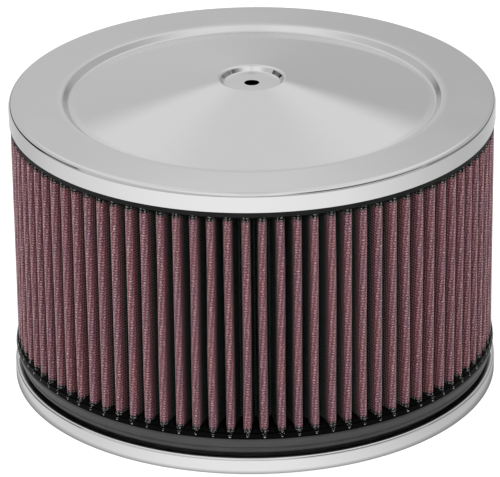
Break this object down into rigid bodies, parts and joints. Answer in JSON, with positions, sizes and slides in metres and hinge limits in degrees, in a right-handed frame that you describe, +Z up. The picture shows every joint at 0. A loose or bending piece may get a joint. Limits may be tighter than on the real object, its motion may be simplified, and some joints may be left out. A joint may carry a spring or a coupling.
{
  "type": "carburetor air cleaner",
  "caption": "Round open-element carburetor air cleaner: chromed steel lid with a stud hole, pleated gauze element with cast end seals, and a chromed base with a carburetor neck.",
  "frame": {"origin": "on the cleaner's axis, at the level of the base rim's lower edge, on which it stands", "axes": "+Z up along the axis, from the base plate to the lid; +Y towards the seam of the pleated element"},
  "size_m": [0.23, 0.23, 0.1483],
  "materials": {
    "lid_chrome": "chrome-plated drawn steel, softly polished",
    "base_chrome": "chrome-plated drawn steel, bright",
    "gauze": "oiled cotton gauze under woven wire screen",
    "urethane": "cast urethane, satin",
    "clip_steel": "plated strip steel",
    "gasket_rubber": "sheet rubber, matt"
  },
  "bodies": {
    "root": {"lid": "lid_chrome", "base_plate": "base_chrome", "pleated_media": "gauze", "top_seal": "urethane", "bottom_seal": "urethane", "seam_clip": "clip_steel", "neck_gasket": "gasket_rubber"}
  },
  "joints": []
}
